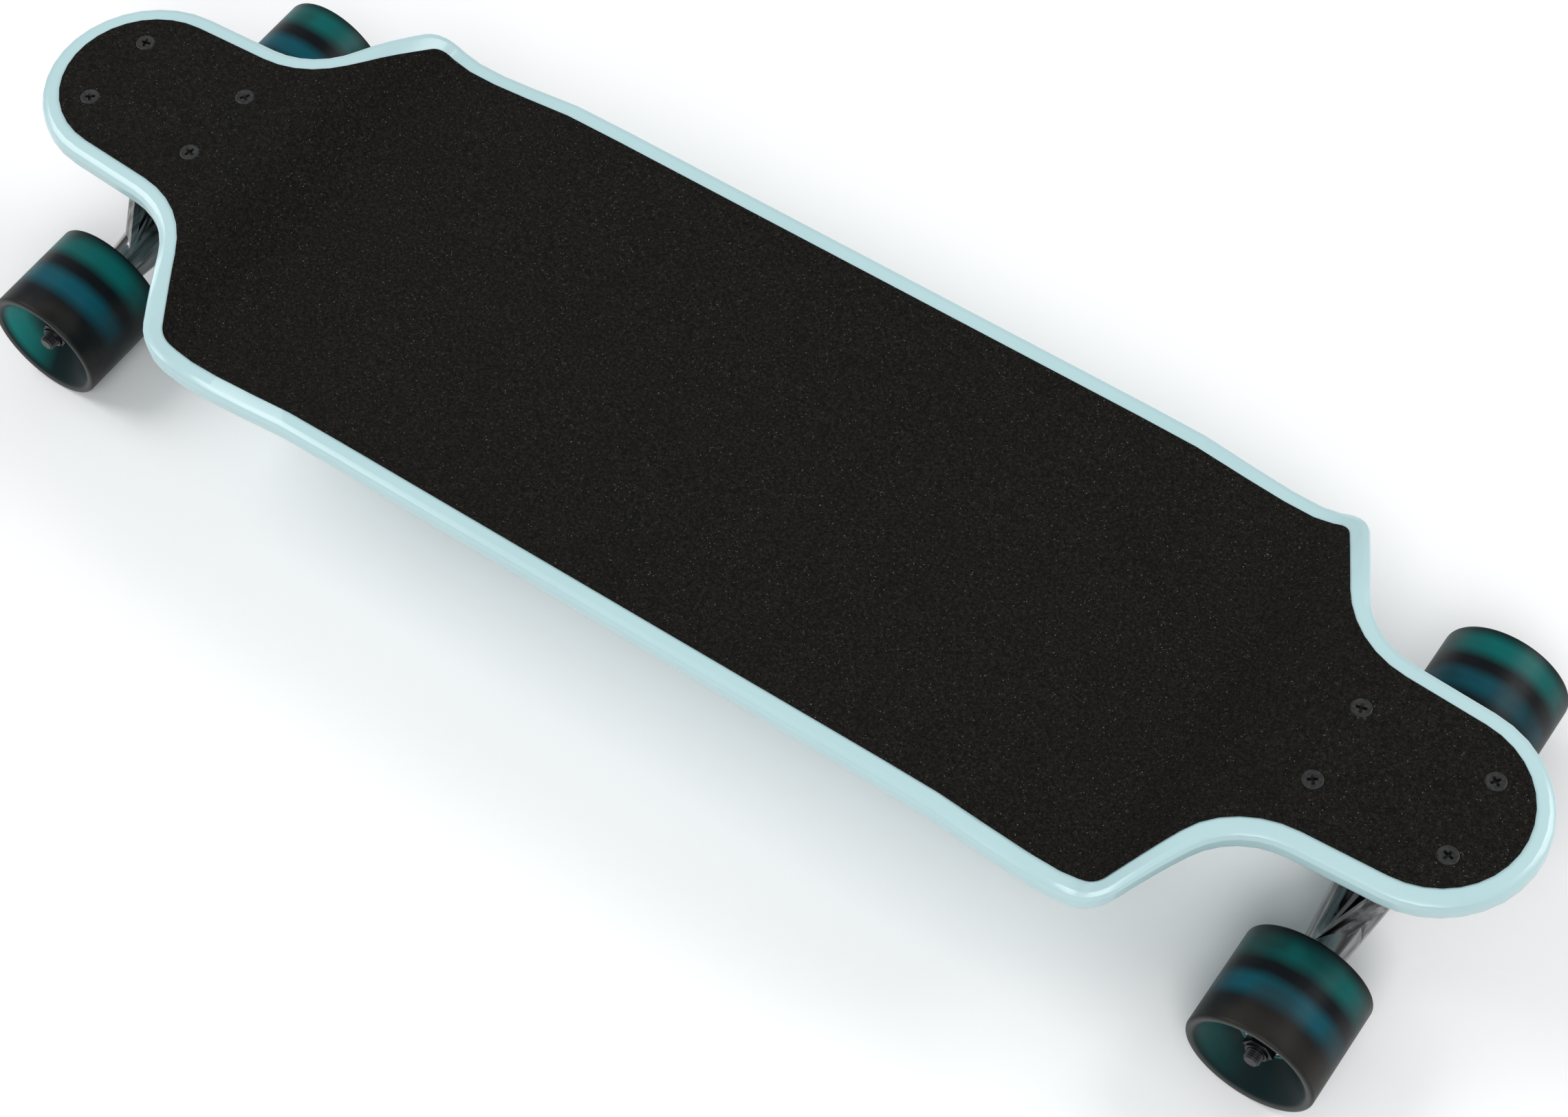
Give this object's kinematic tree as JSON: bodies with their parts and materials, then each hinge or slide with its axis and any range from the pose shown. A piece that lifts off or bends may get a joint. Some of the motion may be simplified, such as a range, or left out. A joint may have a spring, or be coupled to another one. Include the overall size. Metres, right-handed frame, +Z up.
{
  "type": "longboard skateboard",
  "caption": "Drop-deck longboard with a gritted standing deck, reverse-kingpin trucks that lean to steer, and wide urethane wheels on ball bearings.",
  "frame": {"origin": "on the ground under the middle of the deck, at the bottom centre of the board's bounding box", "axes": "+X along the deck to the front truck, +Y to the left across the deck, +Z up from the ground"},
  "size_m": [0.8076, 0.23, 0.1055],
  "materials": {
    "deck_paint": "laminated wood under satin pale blue lacquer",
    "grip": "abrasive grit sheet, matte",
    "black_rubber": "matte moulded",
    "polished_alloy": "polished casting",
    "dark_steel": "oiled dark steel",
    "plated_steel": "plated",
    "black_screws": "black oxide",
    "bushing": "cast urethane",
    "bearing_steel": "ground and polished",
    "shield": "black lacquered shield",
    "cage": "natural nylon",
    "wheel_urethane": "smoky translucent urethane, satin",
    "wheel_core": "teal moulded core"
  },
  "bodies": {
    "board": {"deck": "deck_paint", "grip_tape": "grip", "front_riser_pad": "black_rubber", "front_baseplate": "polished_alloy", "front_pivot_cup": "black_rubber", "front_kingpin": "dark_steel", "front_kingpin_nut": "dark_steel", "front_upper_washer": "plated_steel", "front_lower_washer": "plated_steel", "front_upper_bushing": "bushing", "front_lower_bushing": "bushing", "front_deck_screws": "black_screws", "front_deck_nuts": "black_screws", "rear_riser_pad": "black_rubber", "rear_baseplate": "polished_alloy", "rear_pivot_cup": "black_rubber", "rear_kingpin": "dark_steel", "rear_kingpin_nut": "dark_steel", "rear_upper_washer": "plated_steel", "rear_lower_washer": "plated_steel", "rear_upper_bushing": "bushing", "rear_lower_bushing": "bushing", "rear_deck_screws": "black_screws", "rear_deck_nuts": "black_screws"},
    "front_hanger": {"front_hanger": "polished_alloy", "front_axle": "dark_steel", "front_axle_nuts": "dark_steel", "front_speed_washers": "plated_steel", "front_bearing_inner_rings": "bearing_steel", "front_bearing_spacers": "plated_steel"},
    "rear_hanger": {"rear_hanger": "polished_alloy", "rear_axle": "dark_steel", "rear_axle_nuts": "dark_steel", "rear_speed_washers": "plated_steel", "rear_bearing_inner_rings": "bearing_steel", "rear_bearing_spacers": "plated_steel"},
    "front_left_wheel": {"front_left_tyre": "wheel_urethane", "front_left_core": "wheel_core", "front_left_bearing_outer_rings": "bearing_steel", "front_left_bearing_shields": "shield"},
    "front_right_wheel": {"front_right_tyre": "wheel_urethane", "front_right_core": "wheel_core", "front_right_bearing_outer_rings": "bearing_steel", "front_right_bearing_shields": "shield"},
    "rear_left_wheel": {"rear_left_tyre": "wheel_urethane", "rear_left_core": "wheel_core", "rear_left_bearing_outer_rings": "bearing_steel", "rear_left_bearing_shields": "shield"},
    "rear_right_wheel": {"rear_right_tyre": "wheel_urethane", "rear_right_core": "wheel_core", "rear_right_bearing_outer_rings": "bearing_steel", "rear_right_bearing_shields": "shield"},
    "front_left_balls": {"front_left_bearing_cages": "cage", "front_left_bearing_balls": "bearing_steel"},
    "front_right_balls": {"front_right_bearing_cages": "cage", "front_right_bearing_balls": "bearing_steel"},
    "rear_left_balls": {"rear_left_bearing_cages": "cage", "rear_left_bearing_balls": "bearing_steel"},
    "rear_right_balls": {"rear_right_bearing_cages": "cage", "rear_right_bearing_balls": "bearing_steel"}
  },
  "joints": [
    {"name": "front_steer", "type": "hinge", "parent": "board", "child": "front_hanger", "pos_m": [0.33511, 0, 0.03489], "axis": [0.7071, 0, 0.7071], "range_deg": [-15, 15], "stiffness_Nm_per_rad": 40, "deforming": ["front_upper_bushing", "front_lower_bushing"]},
    {"name": "rear_steer", "type": "hinge", "parent": "board", "child": "rear_hanger", "pos_m": [-0.33511, 0, 0.03489], "axis": [-0.7071, 0, 0.7071], "range_deg": [-15, 15], "stiffness_Nm_per_rad": 40, "deforming": ["rear_upper_bushing", "rear_lower_bushing"]},
    {"name": "front_left_roll", "type": "hinge", "parent": "front_hanger", "child": "front_left_wheel", "pos_m": [0.339, 0.089, 0.031], "axis": [0, 1, 0], "continuous": true},
    {"name": "front_right_roll", "type": "hinge", "parent": "front_hanger", "child": "front_right_wheel", "pos_m": [0.339, -0.089, 0.031], "axis": [0, 1, 0], "continuous": true},
    {"name": "rear_left_roll", "type": "hinge", "parent": "rear_hanger", "child": "rear_left_wheel", "pos_m": [-0.339, 0.089, 0.031], "axis": [0, 1, 0], "continuous": true},
    {"name": "rear_right_roll", "type": "hinge", "parent": "rear_hanger", "child": "rear_right_wheel", "pos_m": [-0.339, -0.089, 0.031], "axis": [0, 1, 0], "continuous": true},
    {"name": "front_left_balls_roll", "type": "hinge", "parent": "front_hanger", "child": "front_left_balls", "pos_m": [0.339, 0.089, 0.031], "axis": [0, 1, 0], "continuous": true},
    {"name": "front_right_balls_roll", "type": "hinge", "parent": "front_hanger", "child": "front_right_balls", "pos_m": [0.339, -0.089, 0.031], "axis": [0, 1, 0], "continuous": true},
    {"name": "rear_left_balls_roll", "type": "hinge", "parent": "rear_hanger", "child": "rear_left_balls", "pos_m": [-0.339, 0.089, 0.031], "axis": [0, 1, 0], "continuous": true},
    {"name": "rear_right_balls_roll", "type": "hinge", "parent": "rear_hanger", "child": "rear_right_balls", "pos_m": [-0.339, -0.089, 0.031], "axis": [0, 1, 0], "continuous": true}
  ],
  "couplings": [
    {"joint": "front_left_balls_roll", "follows": "front_left_roll", "ratio": 0.6323},
    {"joint": "front_right_balls_roll", "follows": "front_right_roll", "ratio": 0.6323},
    {"joint": "rear_left_balls_roll", "follows": "rear_left_roll", "ratio": 0.6323},
    {"joint": "rear_right_balls_roll", "follows": "rear_right_roll", "ratio": 0.6323}
  ]
}
